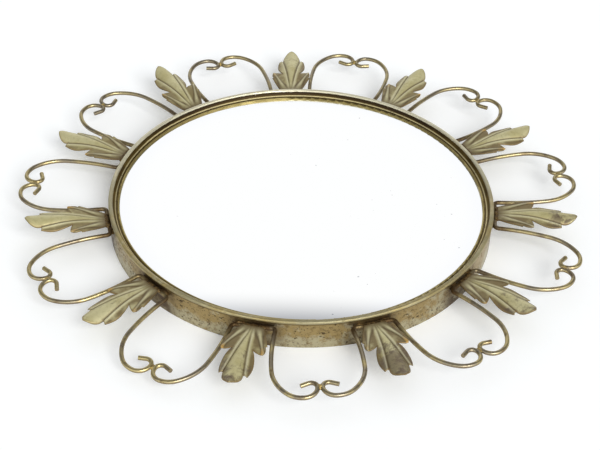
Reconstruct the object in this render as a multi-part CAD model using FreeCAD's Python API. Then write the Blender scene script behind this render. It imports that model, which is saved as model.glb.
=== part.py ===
import FreeCAD, Part
import math
import os

# A round wall mirror in a metal band, with open wire hearts and embossed leaves around it.
# Millimetres and degrees. The mirror faces +Z, +Y is its top when it hangs,
# and the origin is on its axis in the plane of the band's back edge.

# Band and its rolled lip
WALL_RADIUS = 181.0
WALL_THICKNESS = 1.0
BAND_HEIGHT = 30.0
LIP_WIDTH = 4.1
LIP_HEIGHT = 3.6
LIP_PROUD = 1.0
LIP_INNER_ROUND = 1.2

# Sight ring: the cove and bead that hold the glass from the front
SIGHT_WIDTH = 9.5
BEAD_WIDTH = 2.2
BEAD_SIDE = 0.9
COVE_DROP = 1.6
COVE_SAG = 0.8

# Glass, packing and backing board
GLASS_DEPTH = 7.0
GLASS_THICKNESS = 4.0
PACKING_THICKNESS = 1.0
BOARD_THICKNESS = 3.0
EDGE_CLEARANCE = 1.0

# Bent tabs that hold the board
TAB_COUNT = 8
TAB_WIDTH = 12.0
TAB_THICKNESS = 0.8
TAB_REACH = 11.0
TAB_LEG = 10.0
TAB_BEND = 1.2

# Hanger on the back of the board
HANGER_DROP = 42.0
STRAP_WIDTH = 11.0
STRAP_LENGTH = 24.0
STRAP_THICKNESS = 0.8
RING_WIRE = 3.0
RING_CORNER = 2.0
RING_CLEARANCE = 0.05
RING_SIDE_PLAY = 1.0
RIVET_FIRST = 8.0
RIVET_PITCH = 10.0
RIVET_SHANK = 3.0
RIVET_HEAD = 6.0
RIVET_HEAD_HEIGHT = 1.0
RIVET_TAIL = 5.0
RIVET_TAIL_HEIGHT = 1.0

# Scroll wires; reaches are measured outwards from the band's wall
RAY_COUNT = 11
WIRE_DIAMETER = 4.0
WIRE_DROP = 4.9
WIRE_SEAT = 0.1
RUN_HALF = 19.5
ROOT_BEND = 4.0
ROOT_STRAIGHT = 10.0
ARM_SPREAD = 27.7
ARM_REACH = 50.8
CURL_REACH = 74.8
CURL_RADIUS = 11.0
HOOK_RADIUS = 5.5
HOOK_TURN = 110.0
TAIL_LENGTH = 7.0
HEART_GAP = 0.2

# Solder
HEART_BEAD = 2.3
ROOT_LUMP = 2.8
ROOT_LUMP_SIDE = 12.5
ROOT_LUMP_DROP = 1.0
LEAF_BEAD = 1.8
LEAF_BEAD_DROP = 1.0
SOLDER_GAP = 0.05
SOLDER_TOLERANCE = 0.001

# Leaf outline, right half: (across from the midrib, outwards from the wall)
STEM_HALF = 9.8
LOBE_FLANK = (14.9, 16.0)
LOBE_EAR = (19.4, 27.8)
EAR_NICK = (17.9, 28.8)
LOBE_CHEEK = (19.5, 33.5)
LOBE_TIP = (18.6, 38.6)
LOBE_BROW = (13.6, 38.0)
LEAF_NOTCH = (8.9, 35.8)
UPPER_CHEEK = (14.1, 52.0)
SHOULDER = (12.5, 64.8)
SHOULDER_NICK = (8.8, 64.0)
END_CHEEK = (7.4, 72.2)
LEAF_LENGTH = 79.0

# Leaf relief
LEAF_THICKNESS = 0.8
LEAF_GAP = 0.5
LEAF_STEP = 2.8
LEAF_RISE = 4.3
LEAF_BOW = 2.4
PANEL_FALL_STEM = 0.6
PANEL_FALL = 4.0
WING_FALL = 2.3
WING_FALL_REACH = 13.0
LOBE_AXIS_ROOT = (3.5, 2.0)
LOBE_RISE = 3.4
LOBE_TIP_FALL = 2.1
LOBE_FALL = 2.2
LOBE_HALF = 6.3
LOBE_GROWN = 0.5
VALLEY_SOFTNESS = 0.3
RIB_HEIGHT = 0.45
RIB_HALF_WIDTH = 1.0
RIB_ROOT = 1.6
RIB_END = 10.2
RIB_GROWN = 0.4
RIB_POWER = 1.3
PANEL_POWER = 1.9
GRID_ACROSS = 1.0
GRID_ALONG = 2.5

# Hand bending: how far each heart's curls and each leaf's tip stand off the even pattern, and how far
# each leaf is turned and rolled on its stem; from the top, anticlockwise as seen from the front
HEART_LIFTS = (-2.0, -0.8, -0.8, -1.2, -8.3, 3.5, 2.3, -0.2, 0.1, 0.0, -1.5)
LEAF_LIFTS = (-2.4, 6.3, -0.2, 7.6, -2.0, -2.2, 2.8, 3.0, -0.3, 2.2, 0.6)
LEAF_TURNS = (-4.0, -2.8, -3.7, -0.2, -2.2, -2.1, -1.8, -2.8, -0.8, -0.5, -0.8)
LEAF_ROLLS = (-2.2, 0.2, -1.0, -0.5, -1.0, 1.2, 0.8, 0.1, 0.3, 0.3, -0.8)

# Worked-out sizes
V = FreeCAD.Vector
AXIS_X = V(1, 0, 0)
AXIS_Y = V(0, 1, 0)
AXIS_Z = V(0, 0, 1)
wall_inside = WALL_RADIUS - WALL_THICKNESS
sight_radius = WALL_RADIUS - SIGHT_WIDTH
lip_outside = WALL_RADIUS + LIP_PROUD
lip_inside = lip_outside - LIP_WIDTH
lip_low = BAND_HEIGHT - LIP_HEIGHT
disc_radius = wall_inside - EDGE_CLEARANCE
glass_top = BAND_HEIGHT - GLASS_DEPTH
glass_low = glass_top - GLASS_THICKNESS
packing_low = glass_low - PACKING_THICKNESS
board_low = packing_low - BOARD_THICKNESS
eye_inside = RING_WIRE / 2 + RING_CLEARANCE
eye_outside = eye_inside + STRAP_THICKNESS
eye_y = wall_inside - HANGER_DROP
eye_z = board_low - eye_outside
wire_radius = WIRE_DIAMETER / 2
wire_z = lip_low - WIRE_DROP
run_radius = WALL_RADIUS + WIRE_SEAT + wire_radius
curl_radius_out = WALL_RADIUS + CURL_REACH
half_pitch = math.pi / RAY_COUNT
leaf_z = wire_z + LEAF_STEP
stem_reach = WIRE_SEAT + WIRE_DIAMETER + LEAF_GAP


def edge(start, end, middle=None):
    """A straight edge, or an arc through a middle point."""
    if middle is None:
        return Part.LineSegment(start, end).toShape()
    return Part.Arc(start, middle, end).toShape()


def trace(start, *steps):
    """A closed wire: each step is a point, or a pair (middle, end) for an arc."""
    edges = []
    here = start
    for step in steps:
        middle, end = step if isinstance(step, tuple) else (None, step)
        edges.append(edge(here, end, middle))
        here = end
    edges.append(edge(here, start))
    return Part.Wire(edges)


def section(radius, height):
    """A point of a section that is turned about the mirror's axis."""
    return V(radius, 0, height)


def turn(profile, degrees=360):
    return Part.Face(profile).revolve(V(), AXIS_Z, degrees)


def disc(low, thickness):
    return Part.makeCylinder(disc_radius, thickness, V(0, 0, low))


def ray(shape, number):
    """A copy of a piece made on the +Y side, turned to its place in the pattern."""
    return shape.rotated(V(), AXIS_Z, math.degrees(2 * half_pitch * number))


def hand_value(values, number):
    return values[number % len(values)]


def save(name, *solids):
    shape = solids[0] if len(solids) == 1 else Part.makeCompound(list(solids))
    shape.exportStep(f"parts/{name}.step")


def frame_band():
    roll = LIP_HEIGHT / 2
    roll_at = lip_outside - roll
    roll_z = BAND_HEIGHT - roll
    crease_z = roll_z - math.sqrt(roll**2 - (WALL_RADIUS - roll_at) ** 2)
    inner = LIP_INNER_ROUND
    inset = inner * (1 - math.sqrt(0.5))
    return turn(
        trace(
            section(wall_inside, 0),
            section(WALL_RADIUS, 0),
            section(WALL_RADIUS, crease_z),
            (section(lip_outside, roll_z), section(roll_at, BAND_HEIGHT)),
            section(lip_inside + inner, BAND_HEIGHT),
            (section(lip_inside + inset, BAND_HEIGHT - inset), section(lip_inside, BAND_HEIGHT - inner)),
            section(lip_inside, lip_low),
            section(wall_inside, lip_low),
        )
    )


def sight_ring():
    bead_round = BEAD_WIDTH / 2
    bead_outside = sight_radius + BEAD_WIDTH
    bead_low = glass_top + BEAD_SIDE
    cove_top = section(lip_inside, BAND_HEIGHT - COVE_DROP)
    cove_low = section(bead_outside, bead_low)
    chord = cove_low - cove_top
    sag = V(-chord.z, 0, chord.x).normalize() * COVE_SAG
    return turn(
        trace(
            section(wall_inside, glass_top),
            section(wall_inside, lip_low),
            section(lip_inside, lip_low),
            cove_top,
            ((cove_top + cove_low) * 0.5 + sag, cove_low),
            (section(sight_radius + bead_round, bead_low + bead_round), section(sight_radius, bead_low)),
            section(sight_radius, glass_top),
        )
    )


def retaining_tabs():
    """Bent lugs: one leg on the band's wall, the other under the board."""
    bend_centre = section(wall_inside - TAB_BEND, board_low - TAB_BEND)
    outwards = section(1, 1).normalize()
    bend_inside = TAB_BEND - TAB_THICKNESS
    profile = trace(
        section(wall_inside - TAB_REACH, board_low),
        section(wall_inside - TAB_BEND, board_low),
        (bend_centre + outwards * TAB_BEND, section(wall_inside, board_low - TAB_BEND)),
        section(wall_inside, board_low - TAB_LEG),
        section(wall_inside - TAB_THICKNESS, board_low - TAB_LEG),
        section(wall_inside - TAB_THICKNESS, board_low - TAB_BEND),
        (bend_centre + outwards * bend_inside, section(wall_inside - TAB_BEND, board_low - TAB_THICKNESS)),
        section(wall_inside - TAB_REACH, board_low - TAB_THICKNESS),
    )
    width_angle = math.degrees(TAB_WIDTH / wall_inside)
    tab = turn(profile, width_angle).rotated(V(), AXIS_Z, -width_angle / 2)
    step = 360 / TAB_COUNT
    return [tab.rotated(V(), AXIS_Z, step * (number + 0.5)) for number in range(TAB_COUNT)]


def rivet_places():
    return [eye_y - RIVET_FIRST - RIVET_PITCH * number for number in range(2)]


def rivet(y):
    """Domed head on the strap, shank through strap and board, tail set flush in the board's front."""
    strap_low = board_low - STRAP_THICKNESS
    tail_low = packing_low - RIVET_TAIL_HEIGHT
    head_round = ((RIVET_HEAD / 2) ** 2 + RIVET_HEAD_HEIGHT**2) / (2 * RIVET_HEAD_HEIGHT)
    dome_middle = RIVET_HEAD / 4
    dome_drop = head_round - math.sqrt(head_round**2 - dome_middle**2)
    apex = strap_low - RIVET_HEAD_HEIGHT

    def at(radius, height):
        return V(radius, y, height)

    profile = trace(
        at(0, apex),
        (at(dome_middle, apex + dome_drop), at(RIVET_HEAD / 2, strap_low)),
        at(RIVET_SHANK / 2, strap_low),
        at(RIVET_SHANK / 2, tail_low),
        at(RIVET_TAIL / 2, tail_low),
        at(RIVET_TAIL / 2, packing_low),
        at(0, packing_low),
    )
    return Part.Face(profile).revolve(V(0, y, 0), AXIS_Z, 360)


def backing_board(rivets):
    return disc(board_low, BOARD_THICKNESS).cut(rivets)


def hanger_strap(rivets):
    plate_low = board_low - STRAP_THICKNESS
    end_round = STRAP_WIDTH / 2
    end_y = eye_y - STRAP_LENGTH + end_round
    plate = Part.makeBox(STRAP_WIDTH, eye_y - end_y, STRAP_THICKNESS, V(-end_round, end_y, plate_low))
    end = Part.makeCylinder(end_round, STRAP_THICKNESS, V(0, end_y, plate_low))
    eye_start = V(-STRAP_WIDTH / 2, eye_y, eye_z)
    eye = Part.makeCylinder(eye_outside, STRAP_WIDTH, eye_start, AXIS_X)
    bore = Part.makeCylinder(eye_inside, STRAP_WIDTH, eye_start, AXIS_X)
    return plate.fuse([end, eye]).cut([bore] + rivets).removeSplitter()


def sweep(edges, diameter):
    """Round wire along a run of tangent edges, starting with a straight one."""
    spine = Part.Wire(edges)
    start = edges[0].Vertexes[0].Point
    heading = edges[0].Vertexes[1].Point - start
    circle = Part.Wire(Part.Circle(start, heading, diameter / 2).toShape())
    return spine.makePipe(Part.Face(circle))


def hanger_ring():
    """A D of wire: its straight bar lies in the strap's eye, its bow stands towards the top."""
    bar = STRAP_WIDTH / 2 + RING_SIDE_PLAY
    side = bar + RING_CORNER
    inset = RING_CORNER * (1 - math.sqrt(0.5))

    def at(x, y):
        return V(x, eye_y + y, eye_z)

    edges = [
        edge(at(-bar, 0), at(bar, 0)),
        edge(at(bar, 0), at(side, RING_CORNER), at(side - inset, inset)),
        edge(at(side, RING_CORNER), at(-side, RING_CORNER), at(0, RING_CORNER + side)),
        edge(at(-side, RING_CORNER), at(-bar, 0), at(inset - side, inset)),
    ]
    return sweep(edges, RING_WIRE)


def on_leaf(across, outwards):
    """A point beside the heart's axis, seen from the leaf beside it, in the wire's plane."""
    x = outwards * math.sin(half_pitch) - across * math.cos(half_pitch)
    y = outwards * math.cos(half_pitch) + across * math.sin(half_pitch)
    return V(x, y, wire_z)


def arc_points(centre, radius, first, last):
    """Middle and end of an arc in the heart's own axes; angles run from the tangent direction."""
    middle = math.radians((first + last) / 2)
    end = math.radians(last)
    return (
        on_leaf(centre[0] + radius * math.cos(middle), centre[1] + radius * math.sin(middle)),
        on_leaf(centre[0] + radius * math.cos(end), centre[1] + radius * math.sin(end)),
    )


def arm_segments():
    """One arm from the root bend to the tip of its hook, as (start, middle, end) of each piece."""
    sine, cosine = math.sin(half_pitch), math.cos(half_pitch)
    arm_out = WALL_RADIUS + ARM_REACH
    arm_across = (arm_out * sine - ARM_SPREAD) / cosine
    touch = wire_radius + HEART_GAP / 2

    # Shoulder: two arcs from the arm's widest point to the top of the curl, meeting at 45 degrees
    width = arm_across - touch - CURL_RADIUS
    height = curl_radius_out + CURL_RADIUS - arm_out
    slope = math.sqrt(0.5)
    flank = (slope * height - (1 - slope) * width) / (slope**2 - (1 - slope) ** 2)
    crown = (width - (1 - slope) * flank) / slope

    # Arm: one long arc from the widest point, then a straight that ends at the root corner
    corner_across = run_radius * sine - RUN_HALF * cosine
    corner_out = run_radius * cosine + RUN_HALF * sine
    lean = 2 * math.atan((arm_across - corner_across) / (arm_out - corner_out + ROOT_STRAIGHT))
    arm = (arm_out - corner_out - ROOT_STRAIGHT * math.cos(lean)) / math.sin(lean)

    # Root bend between that straight and the run along the band
    corner = on_leaf(corner_across, corner_out)
    inwards = (corner - on_leaf(corner_across + math.sin(lean), corner_out + math.cos(lean))).normalize()
    along = V(-1, 0, 0)
    bend_turn = inwards.getAngle(along)
    bend_leg = ROOT_BEND * math.tan(bend_turn / 2)
    towards = (along - inwards).normalize()
    bend_middle = corner + towards * (ROOT_BEND / math.cos(bend_turn / 2) - ROOT_BEND)
    bend_in = corner + along * bend_leg
    bend_out = corner - inwards * bend_leg

    lean_degrees = math.degrees(lean)
    arm_points = arc_points((arm_across - arm, arm_out), arm, -lean_degrees, 0)
    arm_start = corner - inwards * ROOT_STRAIGHT
    flank_points = arc_points((arm_across - flank, arm_out), flank, 0, 45)
    crown_centre = (touch + CURL_RADIUS, curl_radius_out + CURL_RADIUS - crown)
    crown_points = arc_points(crown_centre, crown, 45, 90)
    curl_points = arc_points((touch + CURL_RADIUS, curl_radius_out), CURL_RADIUS, 90, 180)
    hook_centre = (touch + HOOK_RADIUS, curl_radius_out)
    hook_points = arc_points(hook_centre, HOOK_RADIUS, 180, 180 + HOOK_TURN)
    tail_angle = math.radians(90 + 180 + HOOK_TURN)
    tail = TAIL_LENGTH * (on_leaf(math.cos(tail_angle), math.sin(tail_angle)) - on_leaf(0, 0))

    segments = [(bend_in, bend_middle, bend_out), (bend_out, None, arm_start)]
    here = arm_start
    for middle, end in (arm_points, flank_points, crown_points, curl_points, hook_points):
        segments.append((here, middle, end))
        here = end
    segments.append((here, None, here + tail))
    return segments


def mirrored(point):
    return None if point is None else V(-point.x, point.y, point.z)


def flat_wire(diameter):
    """One scroll wire in its plane: hook, arm, run along the band, arm, hook."""
    arm = arm_segments()
    left = [edge(mirrored(end), mirrored(start), mirrored(middle)) for start, middle, end in reversed(arm)]
    right = [edge(start, end, middle) for start, middle, end in arm]
    run = edge(mirrored(arm[0][0]), arm[0][0])
    return sweep(left + [run] + right, diameter)


def scroll_wire(flat, number):
    """The wire tilted about its run, so that each end meets its neighbour in their heart."""
    left = hand_value(HEART_LIFTS, number)
    right = hand_value(HEART_LIFTS, (number - 1) % RAY_COUNT)
    run_centre = V(0, run_radius, wire_z)
    pitch = math.atan((left + right) / 2 / (curl_radius_out * math.cos(half_pitch) - run_radius))
    roll = math.atan((left - right) / 2 / (curl_radius_out * math.sin(half_pitch)))
    pitched = flat.rotated(run_centre, AXIS_X, math.degrees(pitch))
    return ray(pitched.rotated(run_centre, AXIS_Y, math.degrees(roll)), number)


def lobe_height(across, outwards):
    """A lower lobe: a barrel along the line from the stem to the lobe's tip."""
    along_x = LOBE_TIP[0] - LOBE_AXIS_ROOT[0]
    along_y = LOBE_TIP[1] - LOBE_AXIS_ROOT[1]
    length = math.hypot(along_x, along_y)
    dx = across - LOBE_AXIS_ROOT[0]
    dy = outwards - LOBE_AXIS_ROOT[1]
    share = (dx * along_x + dy * along_y) / length**2
    aside = (dx * along_y - dy * along_x) / length
    grown = min(1.0, max(0.0, share / LOBE_GROWN))
    return LOBE_RISE * share - LOBE_TIP_FALL * share**4 - LOBE_FALL * grown * (aside / LOBE_HALF) ** 2


def blade_height(across, outwards):
    """The middle blade: an arched panel, a raised rib along each side, and a wing outside each rib."""
    share = outwards / LEAF_LENGTH
    crown = LEAF_RISE * share + LEAF_BOW * math.sin(math.pi * share) ** 2
    rib_share = max(0.0, outwards / SHOULDER_NICK[1])
    rib_across = RIB_ROOT + (RIB_END - RIB_ROOT) * min(1.0, rib_share) ** RIB_POWER
    panel_share = min(1.0, across / (rib_across - RIB_HALF_WIDTH))
    panel_fall = (PANEL_FALL_STEM + PANEL_FALL * rib_share**PANEL_POWER) * panel_share**2
    wing_share = max(0.0, across - rib_across) / (UPPER_CHEEK[0] - rib_across)
    wing_fall = WING_FALL * wing_share * math.exp(-(((outwards - UPPER_CHEEK[1]) / WING_FALL_REACH) ** 2))
    fade = min(1.0, rib_share / RIB_GROWN)
    rib = RIB_HEIGHT * fade * math.exp(-(((across - rib_across) / RIB_HALF_WIDTH) ** 2))
    return crown - panel_fall - wing_fall + rib


def leaf_height(across, outwards):
    """Upper face of the leaf: the higher of blade and lobe, with a soft valley between them."""
    blade = blade_height(abs(across), outwards)
    lobe = lobe_height(abs(across), outwards)
    blend = math.log1p(math.exp(-abs(blade - lobe) / VALLEY_SOFTNESS))
    return leaf_z + max(blade, lobe) + VALLEY_SOFTNESS * blend


def leaf_outline():
    def at(point, side):
        return V(side * point[0], WALL_RADIUS + point[1], 0)

    stem = (STEM_HALF, stem_reach)
    tip = (0.0, LEAF_LENGTH)
    edges = [edge(at(stem, -1), at(stem, 1))]
    for side in (1, -1):
        edges += [
            edge(at(stem, side), at(LOBE_EAR, side), at(LOBE_FLANK, side)),
            edge(at(LOBE_EAR, side), at(EAR_NICK, side)),
            edge(at(EAR_NICK, side), at(LOBE_TIP, side), at(LOBE_CHEEK, side)),
            edge(at(LOBE_TIP, side), at(LEAF_NOTCH, side), at(LOBE_BROW, side)),
            edge(at(LEAF_NOTCH, side), at(SHOULDER, side), at(UPPER_CHEEK, side)),
            edge(at(SHOULDER, side), at(SHOULDER_NICK, side)),
            edge(at(SHOULDER_NICK, side), at(tip, side), at(END_CHEEK, side)),
        ]
    return Part.Wire(Part.__sortEdges__(edges))


def grid_steps(low, high, spacing):
    count = math.ceil((high - low) / spacing)
    return [low + (high - low) * step / count for step in range(count + 1)]


def flat_leaf():
    """One leaf: a sheet of even depth under the relief, cut to the outline."""
    margin = 2 * GRID_ACROSS
    reach = max(LOBE_EAR[0], LOBE_CHEEK[0], LOBE_TIP[0], UPPER_CHEEK[0]) + margin
    columns = grid_steps(-reach, reach, GRID_ACROSS)
    rows = []
    for outwards in grid_steps(stem_reach - margin, LEAF_LENGTH + margin, GRID_ALONG):
        rows.append([V(x, WALL_RADIUS + outwards, leaf_height(x, outwards)) for x in columns])
    surface = Part.BSplineSurface()
    surface.interpolate(rows)
    sheet = surface.toShape().extrude(V(0, 0, -LEAF_THICKNESS))
    prism = Part.Face(leaf_outline()).extrude(V(0, 0, 2 * BAND_HEIGHT))
    return sheet.common(prism).Solids[0]


def leaf(flat, number):
    stem = V(0, WALL_RADIUS + stem_reach, leaf_z)
    lift = math.degrees(math.atan(hand_value(LEAF_LIFTS, number) / (LEAF_LENGTH - stem_reach)))
    bent = flat.rotated(stem, AXIS_Y, hand_value(LEAF_ROLLS, number)).rotated(stem, AXIS_X, lift)
    return ray(bent.rotated(stem, AXIS_Z, hand_value(LEAF_TURNS, number)), number)


def heart_bead(number, rooms):
    """Solder in the heart between this wire and the next, filling in around both."""
    place = mirrored(on_leaf(0, curl_radius_out))
    across = mirrored(on_leaf(1, 0)) - mirrored(on_leaf(0, 0))
    centre = V(place.x, place.y, wire_z + hand_value(HEART_LIFTS, number))
    bead = ray(Part.makeSphere(HEART_BEAD, centre, across), number)
    return bead.cut([rooms[number], rooms[(number + 1) % RAY_COUNT]], SOLDER_TOLERANCE).Solids


def root_lumps(number, rooms):
    """Solder between the wire's run and the band's wall, near both root bends."""
    inside = Part.makeCylinder(WALL_RADIUS + SOLDER_GAP, BAND_HEIGHT)
    lumps = []
    for side in (-1, 1):
        centre = V(side * ROOT_LUMP_SIDE, WALL_RADIUS + WIRE_SEAT, wire_z - ROOT_LUMP_DROP)
        to_wire = V(0, run_radius - centre.y, wire_z - centre.z)
        lump = ray(Part.makeSphere(ROOT_LUMP, centre, to_wire), number)
        lumps += lump.cut([inside, rooms[number]], SOLDER_TOLERANCE).Solids
    return lumps


def leaf_bead(number, rooms, leaves):
    """Solder under the end of the leaf's stem, on the outside of the wire's run."""
    centre = V(0, WALL_RADIUS + stem_reach, leaf_z - LEAF_THICKNESS - LEAF_BEAD_DROP)
    to_wire = V(0, run_radius - centre.y, wire_z - centre.z)
    bead = ray(Part.makeSphere(LEAF_BEAD, centre, to_wire), number)
    stem = leaves[number].translated(V(0, 0, -SOLDER_GAP))
    return bead.cut([rooms[number], stem], SOLDER_TOLERANCE).Solids


def main():
    os.makedirs("parts", exist_ok=True)
    rivets = [rivet(y) for y in rivet_places()]
    save("frame_band", frame_band())
    save("sight_ring", sight_ring())
    save("mirror_glass", disc(glass_low, GLASS_THICKNESS))
    save("packing_sheet", disc(packing_low, PACKING_THICKNESS))
    save("backing_board", backing_board(rivets))
    save("retaining_tabs", *retaining_tabs())
    save("hanger_strap", hanger_strap(rivets))
    save("hanger_rivets", *rivets)
    save("hanger_ring", hanger_ring())

    rays = range(RAY_COUNT)
    wire_pattern = flat_wire(WIRE_DIAMETER)
    wire_room = flat_wire(WIRE_DIAMETER + 2 * SOLDER_GAP)
    leaf_pattern = flat_leaf()
    wires = [scroll_wire(wire_pattern, number) for number in rays]
    rooms = [scroll_wire(wire_room, number) for number in rays]
    leaves = [leaf(leaf_pattern, number) for number in rays]
    for number in rays:
        save(f"scroll_wire_{number + 1:02d}", wires[number])
        save(f"leaf_{number + 1:02d}", leaves[number])
    save("heart_solder", *[solid for number in rays for solid in heart_bead(number, rooms)])
    save("root_solder", *[solid for number in rays for solid in root_lumps(number, rooms)])
    save("leaf_solder", *[solid for number in rays for solid in leaf_bead(number, rooms, leaves)])


main()
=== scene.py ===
import math

import bmesh
import bpy
import numpy as np
from mathutils import Matrix, Vector, geometry, noise


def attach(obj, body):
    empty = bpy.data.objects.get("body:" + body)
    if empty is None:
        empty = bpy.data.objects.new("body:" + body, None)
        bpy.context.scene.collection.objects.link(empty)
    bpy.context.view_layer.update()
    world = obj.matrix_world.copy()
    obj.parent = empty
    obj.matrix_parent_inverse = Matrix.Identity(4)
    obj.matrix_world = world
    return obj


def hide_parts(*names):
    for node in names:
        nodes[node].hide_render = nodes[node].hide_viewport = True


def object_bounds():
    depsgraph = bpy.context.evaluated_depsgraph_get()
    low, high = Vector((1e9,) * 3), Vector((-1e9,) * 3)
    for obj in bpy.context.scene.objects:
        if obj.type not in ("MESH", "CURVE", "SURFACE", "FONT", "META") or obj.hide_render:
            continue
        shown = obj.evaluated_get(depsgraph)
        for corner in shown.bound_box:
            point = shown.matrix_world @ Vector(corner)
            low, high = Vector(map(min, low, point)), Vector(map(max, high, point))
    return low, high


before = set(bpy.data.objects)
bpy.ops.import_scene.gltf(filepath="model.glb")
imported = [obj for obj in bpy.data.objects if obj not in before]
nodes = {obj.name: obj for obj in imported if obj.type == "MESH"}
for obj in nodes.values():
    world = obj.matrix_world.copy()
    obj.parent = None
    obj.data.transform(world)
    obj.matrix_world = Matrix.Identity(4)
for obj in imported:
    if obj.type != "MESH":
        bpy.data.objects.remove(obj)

cad_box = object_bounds()
MM = 0.001

# Ring of wires and leaves, in millimetres and degrees as in the part's source
RAY_COUNT = 11
WALL_RADIUS = 181.0
WIRE_Z = 21.5
LEAF_Z = 24.3
HEART_RADIUS = 255.8
HEART_LIFTS = (-2.0, -0.8, -0.8, -1.2, -8.3, 3.5, 2.3, -0.2, 0.1, 0.0, -1.5)
LEAF_LIFTS = (-2.4, 6.3, -0.2, 7.6, -2.0, -2.2, 2.8, 3.0, -0.3, 2.2, 0.6)
LEAF_TURNS = (-4.0, -2.8, -3.7, -0.2, -2.2, -2.1, -1.8, -2.8, -0.8, -0.5, -0.8)
LEAF_ROLLS = (-2.2, 0.2, -1.0, -0.5, -1.0, 1.2, 0.8, 0.1, 0.3, 0.3, -0.8)

# How far the pale wash has worn off each leaf, which also deepens the painted shade on its wings
LEAF_WEAR = (0.08, 0.0, 0.0, 0.02, 0.1, 0.18, 0.3, 0.2, 0.17, 0.12, 0.0)

# Leaf outline, right half: (across from the midrib, outwards from the band's wall)
STEM = (9.8, 4.6)
LOBE_FLANK = (14.9, 16.0)
LOBE_EAR = (19.4, 27.8)
EAR_NICK = (17.9, 28.8)
LOBE_CHEEK = (19.5, 33.5)
LOBE_TIP = (18.6, 38.6)
LOBE_BROW = (13.6, 38.0)
LEAF_NOTCH = (8.9, 35.8)
UPPER_CHEEK = (14.1, 52.0)
SHOULDER = (12.5, 64.8)
SHOULDER_NICK = (8.8, 64.0)
END_CHEEK = (7.4, 72.2)
LEAF_TIP = (0.0, 79.0)

# Leaf mesh: steps in millimetres, and shares of the grid's step
OUTLINE_STEP = 0.6
LEAF_GRID = 0.55
ROW_SHARE = 0.87
CLEARANCE_SHARE = 0.6
MERGE_DISTANCE = 1e-5
ON_EDGE = 1e-4
LEVEL_EDGE_RISE = 1e-9

# Kind of meshing that keeps only the triangles inside the outline
TRIANGLES_INSIDE = 1

# Leaf relief: millimetres, powers, and how fast a feature grows in along its length
LEAF_THICKNESS = 0.8
LEAF_RISE = 4.3
LEAF_BOW = 2.4
PANEL_FALL_STEM = 0.6
PANEL_FALL = 4.0
PANEL_POWER = 1.9
WING_FALL = 2.3
WING_FALL_REACH = 13.0
WING_POWER = 1.4
LOBE_AXIS_ROOT = (3.5, 2.0)
LOBE_RISE = 3.4
LOBE_TIP_FALL = 2.1
LOBE_FALL = 2.2
LOBE_HALF = 6.3
LOBE_GROWTH = 2.0
VALLEY_SOFTNESS = 0.3
RIB_ROOT = 1.6
RIB_END = 10.2
RIB_POWER = 1.3
RIB_GROWTH = 2.5
RIB_HEIGHT = 0.8
RIB_HALF_WIDTH = 1.0
GROOVE_DEPTH = 0.3
GROOVE_OFFSET = 1.5
GROOVE_HALF_WIDTH = 0.8 * RIB_HALF_WIDTH
FOLD_HEIGHT = 0.6
FOLD_HALF_WIDTH = 1.3
FOLD_GROWTH = 1.4
CLEFT_DEPTH = 0.6 * FOLD_HEIGHT
CLEFT_OFFSET = 2.6
CLEFT_HALF_WIDTH = 0.8
RIM_ROLL = 0.12
RIM_ROLL_INSET = 1.0
RIM_ROLL_HALF_WIDTH = 0.8
RIM_DROP = 0.25

# Marks for the leaf's finish: a pair is where a mark starts and the length over which it grows to full
VALLEY_GAP = 0.5
VALLEY_FROM_MIDRIB = (2.0, 3.0)
CLEFT_SHARE = 0.45
WING_FROM_RIB = (0.8, 2.0)
LOBE_SIDE_FROM_FOLD = (2.4, 2.0)
LOBE_SIDE_SHARE = 0.35
LOBE_TIP_FROM_ROOT = (0.78, 0.16)
RIM_WIDTH = 0.9
TIPWARD_FROM_WALL = (25.0, 35.0)
ROOT_LENGTH = 11.0

# Solder lumps, in millimetres: places, and half sizes across, outwards and up
ROOT_LUMP_SIDE = 12.5
ROOT_LUMP_OUT = 0.9
ROOT_LUMP_DROP = 0.9
ROOT_LUMP_SIZE = (4.8, 2.2, 2.8)
STEM_LUMP_SIDES = (-6.2, 0, 6.2)
STEM_LUMP_OUT = 3.9
STEM_LUMP_DROP = 1.2
STEM_LUMP_SIZE = (4.6, 2.5, 1.7)
HEART_LUMP_SIZE = (2.5, 2.7, 2.2)

# Unevenness of a lump: how much and how fine, and the steps in the noise from one lump to the next
LUMP_SWELL = 0.22
LUMP_SWELL_SCALE = 1.6
LUMP_GRAIN = 0.08
LUMP_GRAIN_SCALE = 5.0
LUMP_STEPS = (7.3, 3.1, 5.7)

# Where finishes change, in metres: a pair is where one change starts and ends, and two pairs bound a strip
# Heights over the back
BAND_FOOT = (0.020, 0.004)
LIP_EDGE = (0.0262, 0.0272)
STAIN_TOP = (0.0275, 0.0240)
UNDER_LIP_SHADOW = ((0.0248, 0.0262), (0.0278, 0.0266))
# Distances from the axis
COVE_OUTER = (0.1756, 0.1772)
SEAM = ((0.1738, 0.1742), (0.1750, 0.1746))
# GLEAM bounds a painted highlight line.
GLEAM = ((0.1749, 0.1753), (0.1762, 0.1757))
BEAD_EDGE = (0.1742, 0.1734)
BURNT_REACH = (0.211, 0.187)
ROOT_TO_HEART = (0.200, 0.240)
COOL_EDGE_REFLECTION = (0.150, 0.176)
# Distances along Y, towards the far side of the photo
# These bound a painted highlight on the lip, painted shade on the cove and bead, and a painted reflection
# that greys the wires.
FAR_LIP_HIGHLIGHT = (-0.06, 0.10)
FAR_COVE_SHADE = (0.03, 0.13)
FAR_WIRES_REFLECTION = (-0.05, 0.20)

# Wave around the band, 1 at each root: where a root's stain starts to fade and where it has gone
ROOT_WAVE = (0.85, -0.35)

# Squeeze of the pits in the band, along its height
PIT_SQUEEZE = (1.0, 1.0, 1.7)

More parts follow.
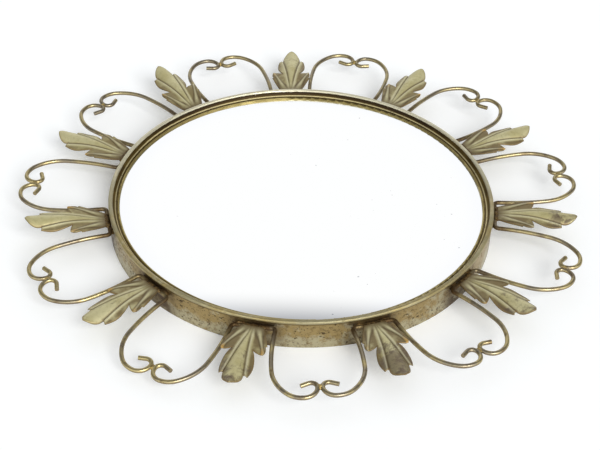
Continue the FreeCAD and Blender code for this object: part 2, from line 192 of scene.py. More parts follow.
# Camera, fitted to the photo: pixels, the sensor in millimetres, places in metres and angles in radians
FOCAL_PIXELS = 1595.85
PHOTO_WIDTH = 600
SENSOR_WIDTH = 36.0
CAMERA_DISTANCE = 1.52161
CAMERA_ELEVATION = 0.666572
CAMERA_ROLL = 0.0323241
CAMERA_PHASE = 0.0795925
CAMERA_TARGET = (-0.000544, -0.0088)

# Floor: sizes in metres, colour and glow
FLOOR_HALF = 6.0
FLOOR_GAP = 0.0003
FLOOR_COLOUR = (0.88, 0.9, 0.91, 1)
FLOOR_GLOW = 0.16

# Room seen from the mirror: a pair is where a part of it starts and ends to fade in, along one axis
BACKDROP_AHEAD = (0.05, 0.35)
BACKDROP_SIDES = (0.54, 0.42)
BACKDROP_TOP = (0.673, 0.650)
FRONT_AHEAD = (-0.05, -0.30)
FRONT_FOOT = (0.08, 0.18)
FRONT_TOP = (0.74, 0.60)
ROOM_LOW = (0.15, 0.15, 0.15, 1)
ROOM_HIGH = (0.19, 0.20, 0.22, 1)
FRONT_WHITE = (1.5, 1.5, 1.46, 1)
WHITE = (1, 1, 1, 1)
AMBIENT = 0.6

# Lamp, with its angles in degrees
LAMP_ENERGY = 2.0
LAMP_SPREAD = 30
LAMP_TILT = 54
LAMP_TURN = 22


# Node materials

def paint(red, green, blue):
    """A colour given as seen, 0 to 255, in the linear values that shaders take."""
    linear = []
    for value in (red, green, blue):
        seen = value / 255
        linear.append(seen / 12.92 if seen <= 0.04045 else ((seen + 0.055) / 1.055) ** 2.4)
    return (*linear, 1.0)


class Nodes:
    """Short ways to build one tree of shader nodes."""

    def __init__(self, tree):
        self.tree = tree

    def clear(self):
        self.tree.nodes.clear()

    def add(self, kind, settings=None, **inputs):
        made = self.tree.nodes.new("ShaderNode" + kind)
        for key, value in (settings or {}).items():
            setattr(made, key, value)
        for key, value in inputs.items():
            self.feed(made.inputs[key.replace("_", " ")], value)
        return made

    def feed(self, socket, value):
        if isinstance(value, bpy.types.NodeSocket):
            self.tree.links.new(value, socket)
        else:
            socket.default_value = value

    def span(self, value, low, high, out_low=0.0, out_high=1.0):
        """A value eased from one range to another."""
        made = self.add("MapRange", {"interpolation_type": "SMOOTHSTEP"}, Value=value)
        ends = {"From Min": low, "From Max": high, "To Min": out_low, "To Max": out_high}
        for key, number in ends.items():
            made.inputs[key].default_value = number
        return made.outputs["Result"]

    def maths(self, operation, first, second=0.0):
        made = self.add("Math", {"operation": operation})
        self.feed(made.inputs[0], first)
        self.feed(made.inputs[1], second)
        return made.outputs[0]

    def product(self, first, *others):
        for other in others:
            first = self.maths("MULTIPLY", first, other)
        return first

    def strip(self, value, rise, fall):
        """1 between a rising edge and a falling edge, and 0 beyond them."""
        return self.product(self.span(value, *rise), self.span(value, *fall))

    def mix(self, share, under, over):
        made = self.add("Mix", {"data_type": "RGBA"})
        self.feed(made.inputs["Factor"], share)
        self.feed(made.inputs[6], under)
        self.feed(made.inputs[7], over)
        return made.outputs[2]

    def coat(self, under, over, *shares):
        """One colour laid over another, as far as the product of the shares."""
        return self.mix(self.product(*shares), under, over)

    def join(self, made, sockets, *shaders):
        """A node with shaders fed into its sockets of these numbers."""
        for number, shader in zip(sockets, shaders):
            self.feed(made.inputs[number], shader.outputs[0])
        return made.outputs[0]

    def seen_directly(self):
        """1 for what the camera sees, straight, mirrored or through glass, and 0 for light on its way."""
        path = self.add("LightPath").outputs
        mirrored = self.maths("MAXIMUM", path["Is Camera Ray"], path["Is Glossy Ray"])
        return self.maths("MAXIMUM", mirrored, path["Is Transmission Ray"])


class Finish(Nodes):
    """One material under construction: a Principled shader and the nodes that feed it."""

    def __init__(self, name, **constants):
        self.material = bpy.data.materials.new(name)
        self.material.use_nodes = True
        super().__init__(self.material.node_tree)
        self.shader = self.tree.nodes["Principled BSDF"]
        for socket, value in constants.items():
            self.shader.inputs[socket].default_value = value
        coordinates = self.add("TexCoord").outputs
        self.place = coordinates["Object"]
        self.facing = coordinates["Normal"]

    def noise(self, scale, detail=4.0, roughness=0.55, distortion=0.0, place=None):
        made = self.add("TexNoise", Vector=place or self.place, Scale=scale, Detail=detail,
                        Roughness=roughness, Distortion=distortion)
        return made.outputs["Fac"]

    def attribute(self, name):
        return self.add("Attribute", {"attribute_name": name}).outputs["Fac"]

    def axes(self):
        return self.add("SeparateXYZ", Vector=self.place).outputs

    def upwards(self):
        """1 where the surface faces the front, 0 at its sides and -1 at the back."""
        return self.add("SeparateXYZ", Vector=self.facing).outputs["Z"]

    def radius(self):
        """Distance from the mirror's axis."""
        axes = self.axes()
        flat = self.add("CombineXYZ", X=axes["X"], Y=axes["Y"])
        return self.add("VectorMath", {"operation": "LENGTH"}, Vector=flat.outputs[0]).outputs["Value"]

    def colour(self, socket):
        self.feed(self.shader.inputs["Base Color"], socket)

    def rough(self, socket):
        self.feed(self.shader.inputs["Roughness"], socket)

    def bump(self, height, strength, distance):
        made = self.add("Bump", Height=height, Strength=strength, Distance=distance)
        self.feed(self.shader.inputs["Normal"], made.outputs["Normal"])


def near_root(finish):
    """1 on a root of the wires and falling to 0 between roots, from the angle around the axis."""
    axes = finish.axes()
    turn = finish.maths("ARCTAN2", axes["Y"], axes["X"])
    turn = finish.maths("SUBTRACT", turn, math.pi / 2)
    wave = finish.maths("COSINE", finish.product(turn, RAY_COUNT))
    return finish.maths("SUBTRACT", 1.0, finish.span(wave, *ROOT_WAVE))


def band_finish():
    """Mottled and pitted gilt, stained at the roots of the wires, with a paler lip that carries a painted
    highlight towards the far side and a painted shadow line under it.
    """
    finish = Finish("band_brass", Metallic=0.75)
    axes = finish.axes()
    low = finish.span(axes["Z"], *BAND_FOOT)
    patches = finish.noise(46.0, detail=8.0, roughness=0.68, distortion=0.3)
    silver = finish.span(finish.maths("ADD", patches, finish.product(low, 0.2)), 0.53, 0.64)
    colour = finish.mix(silver, paint(158, 137, 90), paint(176, 167, 136))
    mottle = finish.span(finish.noise(230.0, detail=6.0, roughness=0.7), 0.46, 0.70)
    colour = finish.coat(colour, paint(122, 102, 64), mottle, 0.85)
    squeezed = finish.add("VectorMath", {"operation": "MULTIPLY"}, Vector=finish.place)
    squeezed.inputs[1].default_value = PIT_SQUEEZE
    large = finish.span(finish.noise(190.0, detail=2.0, place=squeezed.outputs[0]), 0.63, 0.69)
    small = finish.span(finish.noise(430.0, detail=2.0, place=squeezed.outputs[0]), 0.60, 0.67)
    clusters = finish.span(finish.noise(26.0, detail=4.0), 0.40, 0.54)
    pits = finish.product(finish.maths("MAXIMUM", large, small), clusters)
    colour = finish.mix(pits, colour, paint(66, 52, 32))
    lip = finish.span(axes["Z"], *LIP_EDGE)
    pale = finish.mix(finish.span(patches, 0.4, 0.6), paint(190, 180, 142), paint(178, 160, 108))
    dulled = finish.span(finish.noise(20.0, detail=3.0), 0.44, 0.58)
    pale = finish.coat(pale, paint(152, 145, 114), dulled, 0.6)
    # Painted highlight: the lip is brightened towards the far side.
    pale = finish.coat(pale, paint(240, 236, 212), finish.span(axes["Y"], *FAR_LIP_HIGHLIGHT), 0.7)
    colour = finish.mix(lip, colour, pale)
    below = finish.span(axes["Z"], *STAIN_TOP)
    smear = finish.span(finish.noise(70.0, detail=5.0), 0.25, 0.6)
    colour = finish.coat(colour, paint(84, 66, 44), near_root(finish), below, smear)
    # Painted shadow: a dark line just under the lip.
    colour = finish.coat(colour, paint(90, 72, 40), finish.strip(axes["Z"], *UNDER_LIP_SHADOW), 0.8)
    finish.colour(colour)
    rough = finish.span(finish.maths("ADD", mottle, pits), 0.0, 1.2, out_low=0.34, out_high=0.56)
    lip_rough = finish.product(lip, finish.span(dulled, 0.0, 1.0, out_low=0.06, out_high=0.22))
    finish.rough(finish.maths("ADD", rough, lip_rough))
    finish.bump(finish.maths("SUBTRACT", 1.0, pits), strength=0.5, distance=0.0004)
    return finish.material


def sight_finish():
    """Dark cove and pale bead, with a seam between them and a painted highlight line beside it, and
    painted shade on both towards the far side.
    """
    finish = Finish("sight_brass", Metallic=0.8)
    radius = finish.radius()
    tarnish = finish.noise(45.0, detail=5.0, distortion=0.3)
    cove = finish.mix(finish.span(tarnish, 0.35, 0.65), paint(100, 80, 36), paint(128, 106, 50))
    bead = finish.mix(finish.span(tarnish, 0.4, 0.6), paint(182, 166, 108), paint(158, 142, 88))
    # Painted shade: the cove darkens towards the far side, most towards its outer edge under the lip.
    far_painted_light = finish.span(finish.axes()["Y"], *FAR_COVE_SHADE)
    outer = finish.span(radius, *COVE_OUTER)
    cove_shade_depth = finish.span(outer, 0.0, 1.0, out_low=0.25, out_high=0.92)
    cove = finish.coat(cove, paint(40, 28, 14), far_painted_light, cove_shade_depth)
    cove = finish.coat(cove, paint(58, 44, 20), finish.strip(radius, *SEAM), 0.8)
    # Painted highlight: a bright line in the cove beside the seam.
    cove = finish.coat(cove, paint(234, 220, 168), finish.strip(radius, *GLEAM), 0.85)
    # Painted shade: the bead darkens towards the far side.
    bead = finish.coat(bead, paint(104, 90, 54), far_painted_light, 0.4)
    colour = finish.mix(finish.span(radius, *BEAD_EDGE), cove, bead)
    specks = finish.span(finish.noise(420.0, detail=2.0), 0.64, 0.72)
    finish.colour(finish.coat(colour, paint(48, 36, 18), specks, 0.5))
    polish = finish.span(tarnish, 0.3, 0.7, out_low=0.28, out_high=0.42)
    finish.rough(finish.maths("ADD", polish, finish.product(far_painted_light, 0.22)))
    finish.bump(finish.noise(260.0), strength=0.08, distance=0.0004)
    return finish.material


def wire_finish():
    """Worn wire, burnt near the band, with painted shade on its flanks and underside and a painted
    reflection, partly grey tarnish, that greys it towards the far side.
    """
    finish = Finish("wire_brass", Metallic=0.9)
    drift = finish.noise(38.0, detail=4.0, distortion=0.6)
    colour = finish.mix(finish.span(drift, 0.42, 0.60), paint(197, 181, 131), paint(156, 145, 122))
    blotch = finish.span(finish.noise(110.0, detail=5.0, roughness=0.65), 0.5, 0.7)
    colour = finish.coat(colour, paint(116, 94, 66), blotch, 0.7)
    specks = finish.span(finish.noise(520.0, detail=2.0), 0.6, 0.7)
    colour = finish.coat(colour, paint(84, 66, 44), specks, 0.35)
    # Painted shade: darker where the surface faces sideways or down.
    shaded_flanks = finish.span(finish.upwards(), 0.55, -0.05)
    colour = finish.coat(colour, paint(116, 98, 76), shaded_flanks, 0.6)
    # Painted reflection of the dim room, partly grey tarnish: the wires grey towards the far side.
    far_painted_light = finish.span(finish.axes()["Y"], *FAR_WIRES_REFLECTION)
    colour = finish.coat(colour, paint(128, 118, 96), far_painted_light, 0.35)
    soot = finish.span(finish.noise(60.0), 0.35, 0.6, out_low=0.4, out_high=1.0)
    burnt = finish.product(finish.span(finish.radius(), *BURNT_REACH), soot)
    finish.colour(finish.mix(burnt, colour, paint(92, 72, 46)))
    polish = finish.span(blotch, 0.0, 1.0, out_low=0.34, out_high=0.46)
    finish.rough(finish.maths("ADD", polish, finish.product(burnt, 0.2)))
    finish.bump(finish.noise(420.0, detail=3.0), strength=0.06, distance=0.0003)
    return finish.material


def leaf_finish():
    """Pale wash worn towards the tips, with painted shade on the wings, a painted highlight on the ribs
    and folds, dark grooves of tarnish and painted shade, and a painted shade line along the edges.
    """
    finish = Finish("leaf_brass", Metallic=0.35)
    drift = finish.noise(42.0, detail=5.0, distortion=0.3)
    colour = finish.mix(finish.span(drift, 0.35, 0.65), paint(204, 197, 152), paint(188, 179, 128))
    grain = finish.span(finish.noise(240.0, detail=5.0, roughness=0.7), 0.45, 0.75)
    colour = finish.coat(colour, paint(150, 138, 98), grain, 0.4)
    patchy = finish.span(finish.noise(65.0, detail=4.0), 0.25, 0.55)
    # Painted shade on the down-turned wings, deeper on the more worn leaves.
    wing_shade_share = finish.span(finish.attribute("worn"), 0.0, 0.12, out_low=0.7, out_high=0.85)
    colour = finish.coat(colour, paint(108, 88, 50), finish.attribute("wing"), patchy, wing_shade_share)
    wear = finish.product(finish.attribute("tipward"), finish.attribute("worn"))
    wear = finish.maths("ADD", wear, finish.noise(56.0, detail=8.0, roughness=0.72, distortion=0.4))
    fine = finish.noise(150.0, detail=6.0, roughness=0.7)
    rubbed = finish.span(fine, 0.36, 0.6, out_low=0.95, out_high=0.66)
    colour = finish.coat(colour, paint(104, 88, 72), finish.span(wear, 0.62, 0.74), rubbed)
    # Painted highlight on the raised ribs and folds.
    colour = finish.coat(colour, paint(218, 212, 180), finish.attribute("ridge_highlight"), 0.6)
    # Dark grooves and valleys: partly tarnish, partly painted shade.
    colour = finish.coat(colour, paint(88, 71, 42), finish.attribute("groove"), 0.85)
    rim = finish.attribute("rim")
    # Painted shade: the edges are darkened all round.
    colour = finish.coat(colour, paint(116, 98, 62), rim, 0.7)
    tips = finish.product(finish.attribute("lobe_tip"), 0.85)
    edges = finish.maths("MAXIMUM", finish.product(rim, 0.12), tips)
    gold = finish.span(finish.noise(48.0, detail=5.0), 0.40, 0.54)
    colour = finish.coat(colour, paint(190, 150, 76), edges, gold)
    soot = finish.span(finish.noise(80.0), 0.2, 0.5, out_low=0.3, out_high=1.0)
    finish.colour(finish.coat(colour, paint(98, 80, 50), finish.attribute("root"), soot))
    finish.rough(finish.span(grain, 0.0, 1.0, out_low=0.42, out_high=0.6))
    finish.bump(finish.noise(420.0, detail=4.0), strength=0.18, distance=0.0003)
    return finish.material


def solder_finish():
    """Scorched brown at the roots and brass coloured at the hearts."""
    finish = Finish("solder", Metallic=0.8)
    crust = finish.noise(220.0, detail=5.0, roughness=0.65)
    root = finish.mix(finish.span(crust, 0.35, 0.65), paint(72, 56, 36), paint(132, 108, 68))
    heart = finish.mix(finish.span(crust, 0.35, 0.65), paint(150, 128, 82), paint(206, 182, 116))
    finish.colour(finish.mix(finish.span(finish.radius(), *ROOT_TO_HEART), root, heart))
    finish.rough(finish.span(crust, 0.3, 0.7, out_low=0.38, out_high=0.6))
    finish.bump(crust, strength=0.4, distance=0.0006)
    return finish.material


def glass_finish():
    """Silvered glass with a few specks of dust, and a painted reflection that makes it a little cooler
    towards its edge.
    """
    finish = Finish("silvered_glass", Metallic=1.0)
    dust = finish.span(finish.noise(260.0, detail=0.0), 0.82, 0.85)
    speck = finish.product(dust, finish.span(finish.noise(22.0, detail=0.0), 0.60, 0.66))
    # Painted reflection: a cooler tint towards the edge.
    cool_edge_reflection = finish.span(finish.radius(), *COOL_EDGE_REFLECTION)
    silver = finish.mix(cool_edge_reflection, paint(254, 255, 255), paint(250, 252, 255))
    finish.colour(finish.coat(silver, paint(150, 156, 166), speck, 0.5))
    finish.rough(finish.span(speck, 0.0, 1.0, out_low=0.012, out_high=0.12))
    return finish.material


def board_finish():
    finish = Finish("hardboard", Roughness=0.8)
    fibres = finish.noise(190.0, detail=8.0, roughness=0.75, distortion=1.2)
    cloud = finish.span(finish.noise(14.0, detail=3.0), 0.4, 0.7)
    colour = finish.mix(finish.span(fibres, 0.3, 0.7), paint(104, 78, 52), paint(146, 114, 78))
    finish.colour(finish.coat(colour, paint(92, 70, 48), cloud, 0.4))
    finish.bump(fibres, strength=0.35, distance=0.0005)
    return finish.material


def paper_finish():
    finish = Finish("packing_paper", Roughness=0.9)
    pulp = finish.noise(160.0, detail=6.0)
    finish.colour(finish.mix(finish.span(pulp, 0.3, 0.7), paint(176, 158, 124), paint(196, 180, 148)))
    finish.bump(pulp, strength=0.2, distance=0.0003)
    return finish.material


def metal_finish(name, bright, dull, spots, roughness):
    """Plain worn metal: bright with dull clouds and dark spots."""
    finish = Finish(name, Metallic=0.9)
    cloud = finish.noise(85.0, detail=5.0, distortion=0.4)
    colour = finish.mix(finish.span(cloud, 0.38, 0.64), bright, dull)
    dark = finish.span(finish.noise(380.0, detail=3.0), 0.6, 0.7)
    finish.colour(finish.coat(colour, spots, dark, 0.6))
    finish.rough(finish.span(cloud, 0.3, 0.7, out_low=roughness, out_high=roughness + 0.18))
    finish.bump(finish.noise(500.0), strength=0.1, distance=0.0003)
    return finish.material


# Pieces

def put(name, data):
    """A new object in the scene."""
    made = bpy.data.objects.new(name, data)
    bpy.context.scene.collection.objects.link(made)
    return made


def mesh_data(name, build):
    """Mesh data from a mesh under construction, which is used up."""
    data = bpy.data.meshes.new(name)
    build.to_mesh(data)
    build.free()
    return data


def dress(piece, finish, replaced):
    piece.data.materials.append(finish)
    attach(piece, "mirror")
    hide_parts(replaced)


def spoke(number):
    return Matrix.Rotation(math.tau * number / RAY_COUNT, 4, "Z")


# Leaf skins

def ramp(value, start, length):
    """0 up to a start, and from there rising evenly to 1 over a length."""
    return np.clip((value - start) / length, 0, 1)


def bell(distance, half_width):
    """1 at no distance, and falling towards 0 on both sides."""
    return np.exp(-((distance / half_width) ** 2))


def arc(start, middle, end):
    """Points along the arc through three points, without its end."""
    start, middle, end = (np.array(point, float) for point in (start, middle, end))
    rows = np.array([middle - start, end - start])
    centre = start + np.linalg.solve(rows, (rows**2).sum(1) / 2)
    radius = np.linalg.norm(start - centre)
    first, passed, last = (math.atan2(*(point - centre)[::-1]) for point in (start, middle, end))
    sweep = (last - first) % math.tau
    if (passed - first) % math.tau > sweep:
        sweep -= math.tau
    count = max(2, round(abs(sweep) * radius / OUTLINE_STEP))
    turns = first + sweep * np.arange(count) / count
    return [tuple(centre + radius * np.array((math.cos(turn), math.sin(turn)))) for turn in turns]


def line(start, end):
    """Points along a straight line, without its end."""
    start, end = np.array(start, float), np.array(end, float)
    count = max(1, round(np.linalg.norm(end - start) / OUTLINE_STEP))
    return [tuple(start + (end - start) * step / count) for step in range(count)]


def leaf_outline():
    half = arc(STEM, LOBE_FLANK, LOBE_EAR)
    half += line(LOBE_EAR, EAR_NICK)
    half += arc(EAR_NICK, LOBE_CHEEK, LOBE_TIP)
    half += arc(LOBE_TIP, LOBE_BROW, LEAF_NOTCH)
    half += arc(LEAF_NOTCH, UPPER_CHEEK, SHOULDER)
    half += line(SHOULDER, SHOULDER_NICK)
    half += arc(SHOULDER_NICK, END_CHEEK, LEAF_TIP)
    left = [(-side, out) for side, out in reversed(half)]
    base = line((-STEM[0], STEM[1]), STEM)
    return np.array(half + [LEAF_TIP] + left + base[1:])


def leaf_relief(side, out):
    """Upper face of the leaf and the marks of its relief, for arrays of places on the leaf."""
    across = np.abs(side)
    share = out / LEAF_TIP[1]
    crown = LEAF_RISE * share + LEAF_BOW * np.sin(np.pi * share) ** 2
    rib_share = np.clip(out / SHOULDER_NICK[1], 0, None)
    rib_at = RIB_ROOT + (RIB_END - RIB_ROOT) * np.clip(rib_share, 0, 1) ** RIB_POWER
    panel = np.clip(across / (rib_at - RIB_HALF_WIDTH), 0, 1)
    panel_fall = (PANEL_FALL_STEM + PANEL_FALL * rib_share**PANEL_POWER) * panel**2
    wing = np.clip(across - rib_at, 0, None) / (UPPER_CHEEK[0] - rib_at)
    wing_fall = WING_FALL * wing**WING_POWER * bell(out - UPPER_CHEEK[1], WING_FALL_REACH)
    fade = np.clip(RIB_GROWTH * rib_share, 0, 1) * (out < SHOULDER[1])
    rib = bell(across - rib_at, RIB_HALF_WIDTH) * fade
    groove = bell(across - rib_at + GROOVE_OFFSET, GROOVE_HALF_WIDTH) * fade
    blade = crown - panel_fall - wing_fall + RIB_HEIGHT * rib - GROOVE_DEPTH * groove

    axis = np.array(LOBE_TIP) - np.array(LOBE_AXIS_ROOT)
    length = np.linalg.norm(axis)
    right = across - LOBE_AXIS_ROOT[0]
    ahead = out - LOBE_AXIS_ROOT[1]
    along = (right * axis[0] + ahead * axis[1]) / length**2
    aside = (right * axis[1] - ahead * axis[0]) / length
    grown = np.clip(FOLD_GROWTH * along, 0, 1)
    fold = bell(aside, FOLD_HALF_WIDTH) * grown
    cleft = bell(np.abs(aside) - CLEFT_OFFSET, CLEFT_HALF_WIDTH) * grown
    lobe = LOBE_RISE * along - LOBE_TIP_FALL * along**4
    lobe = lobe - LOBE_FALL * np.clip(LOBE_GROWTH * along, 0, 1) * (aside / LOBE_HALF) ** 2
    lobe = lobe + FOLD_HEIGHT * fold - CLEFT_DEPTH * cleft

    gap = np.abs(blade - lobe)
    height = np.maximum(blade, lobe) + VALLEY_SOFTNESS * np.log1p(np.exp(-gap / VALLEY_SOFTNESS))
    on_blade = blade >= lobe
    valley = bell(gap, VALLEY_GAP) * ramp(across, *VALLEY_FROM_MIDRIB)
    furrow = np.where(on_blade, groove, CLEFT_SHARE * cleft)
    lobe_side = LOBE_SIDE_SHARE * ramp(np.abs(aside), *LOBE_SIDE_FROM_FOLD)
    # Marks for the finish: groove takes tarnish and painted shade, ridge_highlight a painted highlight and
    # wing painted shade.
    marks = {
        "groove": np.clip(np.maximum(furrow, valley), 0, 1),
        "ridge_highlight": np.where(on_blade, rib, fold),
        "wing": np.where(on_blade, ramp(across - rib_at, *WING_FROM_RIB), lobe_side),
        "lobe_tip": np.where(on_blade, 0, ramp(along, *LOBE_TIP_FROM_ROOT)),
    }
    return height, marks


def nearest(points, others):
    """Distance from each point to the nearest of the others."""
    return np.sqrt(((points[:, None] - others[None]) ** 2).sum(2)).min(1)


def inside(points, outline):
    """Which points lie inside a closed outline."""
    ends = np.roll(outline, -1, 0)
    level = points[:, None, 1]
    crossing = (outline[None, :, 1] > level) != (ends[None, :, 1] > level)
    rise = ends[:, 1] - outline[:, 1]
    slope = (ends - outline)[:, 0] / np.where(rise == 0, LEVEL_EDGE_RISE, rise)
    meets = outline[None, :, 0] + slope[None] * (level - outline[None, :, 1])
    return (crossing & (points[:, None, 0] < meets)).sum(1) % 2 == 1


def leaf_pattern():
    """Points, faces and marks of one leaf, in millimetres from the end of its stem."""
    outline = leaf_outline()
    low, high = outline.min(0), outline.max(0)
    columns = np.arange(low[0], high[0], LEAF_GRID)
    rows = np.arange(low[1], high[1], LEAF_GRID * ROW_SHARE)
    side, out = np.meshgrid(columns, rows)
    side[1::2] += LEAF_GRID / 2
    inner = np.column_stack([side.ravel(), out.ravel()])
    inner = inner[nearest(inner, outline) > CLEARANCE_SHARE * LEAF_GRID]
    corners = [Vector(point) for point in np.vstack([outline, inner[inside(inner, outline)]])]
    count = len(outline)
    edges = [(number, (number + 1) % count) for number in range(count)]
    meshed = geometry.delaunay_2d_cdt(corners, edges, [], TRIANGLES_INSIDE, MERGE_DISTANCE)
    flat = np.array([tuple(point) for point in meshed[0]])
    faces = [tuple(face) for face in meshed[2]]
    height, marks = leaf_relief(flat[:, 0], flat[:, 1])
    from_edge = nearest(flat, outline)
    height = height + RIM_ROLL * bell(from_edge - RIM_ROLL_INSET, RIM_ROLL_HALF_WIDTH)
    height = height - RIM_DROP * (from_edge < ON_EDGE)
    marks["rim"] = bell(from_edge, RIM_WIDTH)
    marks["tipward"] = ramp(flat[:, 1], *TIPWARD_FROM_WALL)
    marks["root"] = 1 - ramp(flat[:, 1], STEM[1], ROOT_LENGTH)
    top = np.column_stack([flat[:, 0], flat[:, 1] - STEM[1], height])
    return top, faces, marks


def solid_sheet(top, faces, thickness):
    """A closed sheet: the upper face, a lower face under it and a wall around."""
    count = len(top)
    low = top - np.array([0, 0, thickness])
    sides = {}
    for face in faces:
        for side in zip(face, face[1:] + face[:1]):
            sides[side] = True
    free = [(start, end) for start, end in sides if (end, start) not in sides]
    wall = [(end, start, start + count, end + count) for start, end in free]
    under = [tuple(corner + count for corner in reversed(face)) for face in faces]
    return np.vstack([top, low]), faces + under + wall


def sheet_data(name, points, faces, marks):
    data = bpy.data.meshes.new(name)
    data.from_pydata([tuple(point) for point in points], [], faces)
    data.validate()
    for key, values in marks.items():
        data.attributes.new(key, "FLOAT", "POINT").data.foreach_set("value", values.astype(np.float32))
    data.shade_smooth()
    return data


def make_leaves(finish):
    top, faces, marks = leaf_pattern()
    points, sheet = solid_sheet(top, faces, LEAF_THICKNESS)
    both = {key: np.concatenate([values, values]) for key, values in marks.items()}
    for number in range(RAY_COUNT):
        lift = math.atan(LEAF_LIFTS[number] / (LEAF_TIP[1] - STEM[1]))
        place = np.array(
            Matrix.Scale(MM, 4)
            @ spoke(number)
            @ Matrix.Translation((0, WALL_RADIUS + STEM[1], LEAF_Z))
            @ Matrix.Rotation(math.radians(LEAF_TURNS[number]), 4, "Z")
            @ Matrix.Rotation(lift, 4, "X")
            @ Matrix.Rotation(math.radians(LEAF_ROLLS[number]), 4, "Y")
        )
        placed = points @ place[:3, :3].T + place[:3, 3]
        worn = np.full(len(points), LEAF_WEAR[number])
        name = f"leaf_skin_{number + 1:02d}"
        skin = put(name, sheet_data(name, placed, sheet, {**both, "worn": worn}))
        dress(skin, finish, f"leaf_{number + 1:02d}")


# Solder lumps

def lump(build, centre, radii, turn, seed):
    """One uneven bead, as part of a mesh that gathers several."""
    shift = Vector([seed * step for step in LUMP_STEPS])
    for vert in bmesh.ops.create_icosphere(build, subdivisions=4, radius=1.0)["verts"]:
        swell = 1 + LUMP_SWELL * noise.noise(vert.co * LUMP_SWELL_SCALE + shift)
        swell += LUMP_GRAIN * noise.noise(vert.co * LUMP_GRAIN_SCALE + shift)
        local = Vector([length * radius for length, radius in zip(vert.co * swell, radii)])
        vert.co = (turn @ (Vector(centre) + local)) * MM


def gather(name, lumps, finish, replaced):
    build = bmesh.new()
    for number, (centre, radii, turn) in enumerate(lumps):
        lump(build, centre, radii, turn, number + 1)
    data = mesh_data(name, build)
    data.shade_smooth()
    dress(put(name, data), finish, replaced)


def make_solder(finish):
    roots, stems, hearts = [], [], []
    half = Matrix.Rotation(math.pi / RAY_COUNT, 4, "Z")
    wall_out = math.sqrt(WALL_RADIUS**2 - ROOT_LUMP_SIDE**2)
    for number in range(RAY_COUNT):
        turn = spoke(number)
        for side in (-ROOT_LUMP_SIDE, ROOT_LUMP_SIDE):
            centre = (side, wall_out + ROOT_LUMP_OUT, WIRE_Z - ROOT_LUMP_DROP)
            roots.append((centre, ROOT_LUMP_SIZE, turn))
        for side in STEM_LUMP_SIDES:
            centre = (side, WALL_RADIUS + STEM_LUMP_OUT, LEAF_Z - STEM_LUMP_DROP)
            stems.append((centre, STEM_LUMP_SIZE, turn))
        centre = (0, HEART_RADIUS, WIRE_Z + HEART_LIFTS[number])
        hearts.append((centre, HEART_LUMP_SIZE, turn @ half))
    gather("root_beads", roots, finish, "root_solder")
    gather("stem_beads", stems, finish, "leaf_solder")
    gather("heart_beads", hearts, finish, "heart_solder")


# Finishes on the nodes that stay

def repaint(finish, *names):
    for name in names:
        slots = nodes[name].data.materials
        slots.clear()
        slots.append(finish)


def paint_nodes():
    repaint(band_finish(), "frame_band")
    repaint(sight_finish(), "sight_ring")
    repaint(glass_finish(), "mirror_glass")
    repaint(paper_finish(), "packing_sheet")
    repaint(board_finish(), "backing_board")
    brass = metal_finish("tab_brass", bright=paint(186, 156, 92), dull=paint(150, 128, 80),
                         spots=paint(84, 66, 40), roughness=0.32)
    steel = metal_finish("hanger_steel", bright=paint(176, 174, 168), dull=paint(140, 136, 128),
                         spots=paint(92, 74, 56), roughness=0.28)
    repaint(brass, "retaining_tabs")
    repaint(steel, "hanger_strap", "hanger_rivets", "hanger_ring")
    repaint(wire_finish(), *[f"scroll_wire_{number + 1:02d}" for number in range(RAY_COUNT)])


# Studio

def make_floor():
    build = bmesh.new()
    bmesh.ops.create_grid(build, x_segments=2, y_segments=2, size=FLOOR_HALF)
    floor = put("floor", mesh_data("floor", build))
    floor.location.z = cad_box[0][2] - FLOOR_GAP
    material = bpy.data.materials.new("floor_white")
    material.use_nodes = True
    tree = Nodes(material.node_tree)
    tree.clear()
    matt = tree.add("BsdfDiffuse", Color=FLOOR_COLOUR)
    glow = tree.add("Emission", Strength=tree.product(tree.seen_directly(), FLOOR_GLOW))
    both = tree.join(tree.add("AddShader"), (0, 1), matt, glow)
    tree.add("OutputMaterial", Surface=both)
    floor.data.materials.append(material)


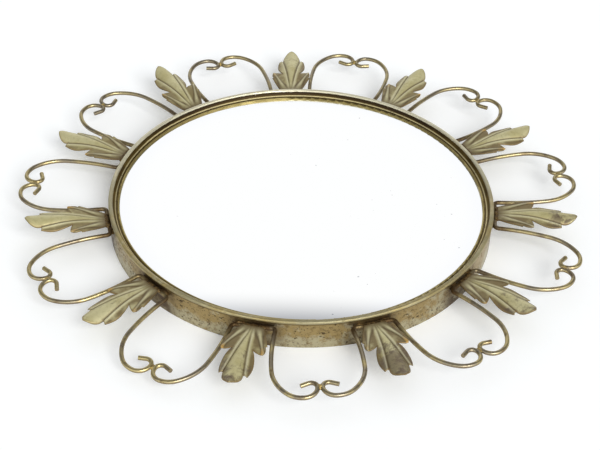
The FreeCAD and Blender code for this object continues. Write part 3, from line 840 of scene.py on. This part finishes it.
def make_world():
    """Soft room light. What metal and glass mirror is a dim room, a white backdrop and a bright front."""
    world = bpy.data.worlds.new("studio")
    bpy.context.scene.world = world
    world.use_nodes = True
    tree = Nodes(world.node_tree)
    tree.clear()
    axes = tree.add("SeparateXYZ", Vector=tree.add("TexCoord").outputs["Generated"]).outputs
    aside = tree.maths("ABSOLUTE", axes["X"])
    backdrop = tree.product(tree.span(axes["Y"], *BACKDROP_AHEAD), tree.span(aside, *BACKDROP_SIDES),
                            tree.span(axes["Z"], *BACKDROP_TOP))
    front = tree.product(tree.span(axes["Y"], *FRONT_AHEAD), tree.span(axes["Z"], *FRONT_FOOT),
                         tree.span(axes["Z"], *FRONT_TOP))
    room = tree.mix(tree.span(axes["Z"], 0.0, 1.0), ROOM_LOW, ROOM_HIGH)
    mirrored = tree.mix(backdrop, room, WHITE)
    mirrored = tree.mix(front, mirrored, FRONT_WHITE)
    ambient = tree.add("Background", Color=WHITE, Strength=AMBIENT)
    seen = tree.add("Background", Color=mirrored)
    both = tree.join(tree.add("MixShader", Fac=tree.seen_directly()), (1, 2), ambient, seen)
    tree.add("OutputWorld", Surface=both)


def make_lamp():
    data = bpy.data.lights.new("softbox", "SUN")
    data.energy = LAMP_ENERGY
    data.angle = math.radians(LAMP_SPREAD)
    lamp = put("softbox", data)
    lamp.rotation_euler = (math.radians(LAMP_TILT), 0, math.radians(LAMP_TURN))


def make_camera():
    cosine, sine = math.cos(CAMERA_ELEVATION), math.sin(CAMERA_ELEVATION)
    turned = Matrix.Rotation(-CAMERA_PHASE, 3, "Z")
    forward = turned @ Vector((0, cosine, -sine))
    target = turned @ Vector((*CAMERA_TARGET, 0))
    data = bpy.data.cameras.new("camera")
    data.sensor_width = SENSOR_WIDTH
    data.lens = FOCAL_PIXELS * SENSOR_WIDTH / PHOTO_WIDTH
    camera = put("camera", data)
    facing = forward.to_track_quat("-Z", "Y").to_matrix().to_4x4()
    rolled = facing @ Matrix.Rotation(CAMERA_ROLL, 4, "Z")
    camera.matrix_world = Matrix.Translation(target - forward * CAMERA_DISTANCE) @ rolled
    bpy.context.scene.camera = camera


paint_nodes()
make_leaves(leaf_finish())
make_solder(solder_finish())
make_floor()
make_world()
make_lamp()
make_camera()
bpy.context.scene.view_settings.view_transform = "Standard"
